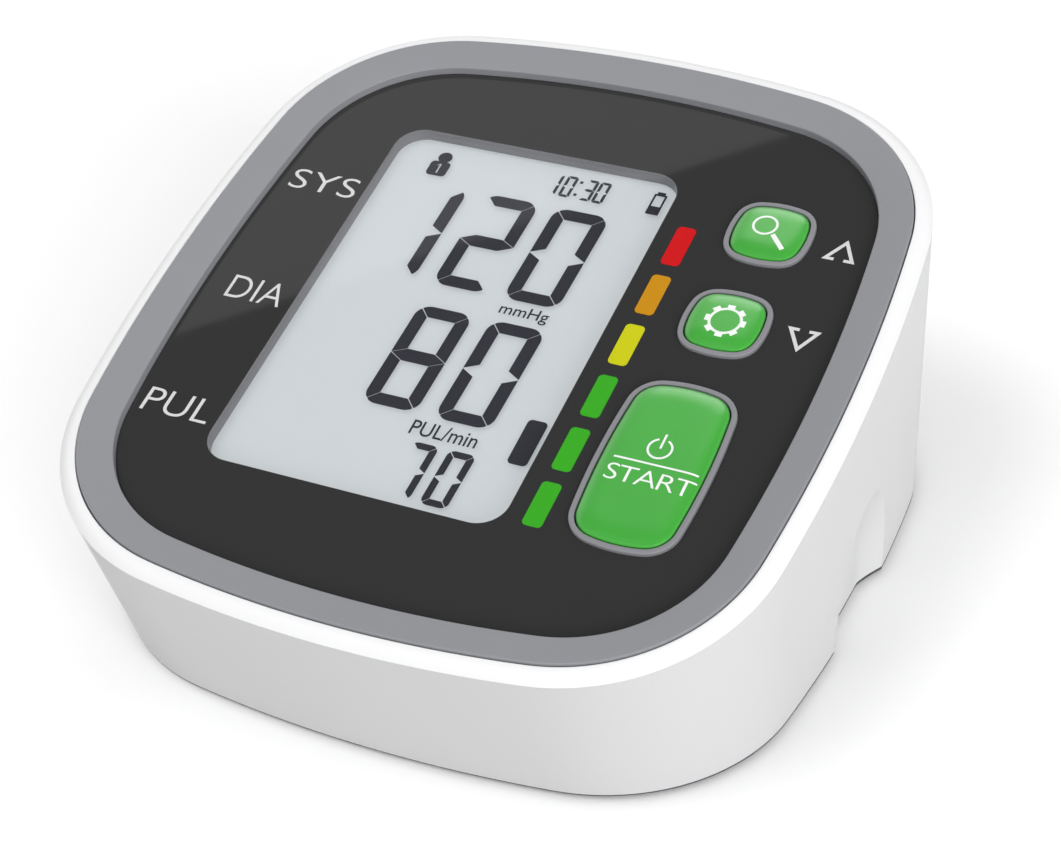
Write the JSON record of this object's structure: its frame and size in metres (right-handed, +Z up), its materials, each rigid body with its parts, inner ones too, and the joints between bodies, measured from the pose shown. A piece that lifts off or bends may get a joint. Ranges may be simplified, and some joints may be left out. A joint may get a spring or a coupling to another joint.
{
  "type": "blood pressure monitor",
  "caption": "Wedge-shaped desktop blood pressure monitor with a tall display, colour scale and soft green keys on a sloping black face.",
  "frame": {"origin": "centre of the bounding box's underside, on the plane where the feet rest", "axes": "+Z up, +X to the user's right, -Y towards the user, who looks down at the sloping face"},
  "size_m": [0.1286, 0.1364, 0.0673],
  "materials": {
    "casing_white": "satin moulded white",
    "trim_grey": "satin moulded grey",
    "panel_black": "polished black",
    "lens_clear": "clear window",
    "bezel_grey": "satin moulded grey",
    "key_green": "soft satin green",
    "ink_red": "printed red",
    "ink_orange": "printed amber",
    "ink_yellow": "printed yellow",
    "ink_green": "printed green",
    "lcd_grey": "pale reflective display",
    "lcd_dark": "dark display segments",
    "inner_white": "plain moulded white",
    "dark_plastic": "plain moulded black",
    "board_green": "lacquered circuit board",
    "screw_steel": "zinc plated steel",
    "contact_brass": "plated contact",
    "cell_wrap": "shrink wrap",
    "magnet_grey": "sintered magnet",
    "copper_winding": "enamelled copper",
    "diaphragm_rubber": "moulded rubber",
    "soft_tube": "soft translucent tube",
    "foot_rubber": "soft dark rubber"
  },
  "bodies": {
    "root": {"upper_case": "casing_white", "bottom_case": "casing_white", "rubber_feet": "foot_rubber", "case_screws": "screw_steel", "trim_ring": "trim_grey", "face_panel": "panel_black", "lcd_lens": "lens_clear", "start_bezel": "bezel_grey", "memory_bezel": "bezel_grey", "settings_bezel": "bezel_grey", "key_switches": "dark_plastic", "scale_red": "ink_red", "scale_orange": "ink_orange", "scale_yellow": "ink_yellow", "scale_green": "ink_green", "lcd_glass": "lcd_grey", "lcd_backlight": "inner_white", "lcd_connector": "soft_tube", "lcd_frame": "inner_white", "lcd_segments": "lcd_dark", "main_board": "board_green", "board_screws": "screw_steel", "board_chips": "dark_plastic", "buzzer": "dark_plastic", "pressure_sensor": "inner_white", "power_board": "board_green", "dc_jack": "dark_plastic", "jack_pin": "contact_brass", "batteries": "cell_wrap", "battery_contacts": "screw_steel", "battery_springs": "screw_steel", "motor_can": "screw_steel", "motor_magnets": "magnet_grey", "motor_end_cap": "dark_plastic", "pump_housing": "dark_plastic", "pump_rocker": "inner_white", "pump_diaphragm": "diaphragm_rubber", "pump_head": "dark_plastic", "pump_cradle": "foot_rubber", "air_manifold": "inner_white", "pump_tube": "soft_tube", "socket_tube": "soft_tube", "valve_tube": "soft_tube", "sensor_tube": "soft_tube", "air_socket": "inner_white", "valve_frame": "screw_steel", "valve_coil": "copper_winding", "valve_spring": "screw_steel", "valve_block": "inner_white"},
    "start_key": {"start_button": "key_green", "start_plunger": "dark_plastic"},
    "memory_key": {"memory_button": "key_green", "memory_plunger": "dark_plastic"},
    "settings_key": {"settings_button": "key_green", "settings_plunger": "dark_plastic"},
    "door": {"battery_door": "casing_white"},
    "pump_rotor": {"motor_rotor": "copper_winding", "crank_hub": "inner_white"},
    "valve_armature": {"valve_plunger": "screw_steel", "valve_seal": "foot_rubber"}
  },
  "joints": [
    {"name": "start_press", "type": "slide", "parent": "root", "child": "start_key", "axis": [0, 0.2639, -0.9646], "range_m": [0, 0.0005], "stiffness_N_per_m": 600},
    {"name": "memory_press", "type": "slide", "parent": "root", "child": "memory_key", "axis": [0, 0.2639, -0.9646], "range_m": [0, 0.0005], "stiffness_N_per_m": 600},
    {"name": "settings_press", "type": "slide", "parent": "root", "child": "settings_key", "axis": [0, 0.2639, -0.9646], "range_m": [0, 0.0005], "stiffness_N_per_m": 600},
    {"name": "door_hinge", "type": "hinge", "parent": "root", "child": "door", "pos_m": [0, 0.01329, 0.0026], "axis": [1, 0, 0], "range_deg": [0, 90]},
    {"name": "pump_spin", "type": "hinge", "parent": "root", "child": "pump_rotor", "pos_m": [0, 0.03059, 0.0179], "axis": [1, 0, 0], "continuous": true},
    {"name": "valve_open", "type": "slide", "parent": "root", "child": "valve_armature", "axis": [0, 0, -1], "range_m": [0, 0.0008], "stiffness_N_per_m": 300, "springref_m": -0.0003, "deforming": ["valve_spring"]}
  ]
}
